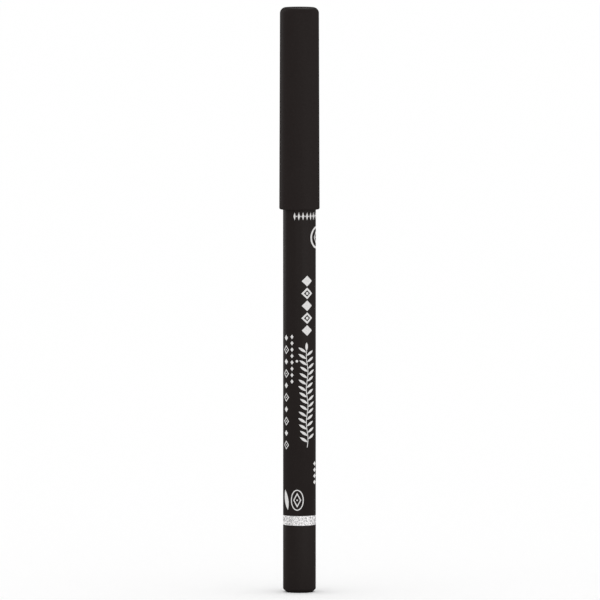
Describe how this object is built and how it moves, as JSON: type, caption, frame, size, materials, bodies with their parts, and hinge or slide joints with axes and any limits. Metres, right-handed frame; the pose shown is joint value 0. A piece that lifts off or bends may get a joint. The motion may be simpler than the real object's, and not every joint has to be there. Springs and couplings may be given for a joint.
{
  "type": "eyeliner pencil",
  "caption": "Slim round wooden eyeliner pencil, lacquered black with a silver glitter band near its dipped end, under a long black pull-off cap.",
  "frame": {"origin": "middle of the flat end face that the pencil stands on, on its axis", "axes": "+Z along the pencil, from the dipped end to the cap's top; -Y is the printed front"},
  "size_m": [0.0094, 0.0094, 0.1375],
  "materials": {
    "cap_plastic": "satin black moulded plastic",
    "black_lacquer": "satin black lacquer",
    "silver_glitter": "silver glitter in clear lacquer",
    "barrel_wood": "bare cut wood",
    "kajal": "soft waxy black",
    "print_ink": "white print"
  },
  "bodies": {
    "pencil": {"barrel_half_front": "barrel_wood", "barrel_half_back": "barrel_wood", "kajal_core": "kajal", "lacquer_coat": "black_lacquer", "glitter_band": "silver_glitter", "end_dip": "black_lacquer"},
    "cap": {"cap": "cap_plastic"}
  },
  "joints": [
    {"name": "cap_pull", "type": "slide", "parent": "pencil", "child": "cap", "axis": [0, 0, 1], "range_m": [0, 0.05]}
  ]
}
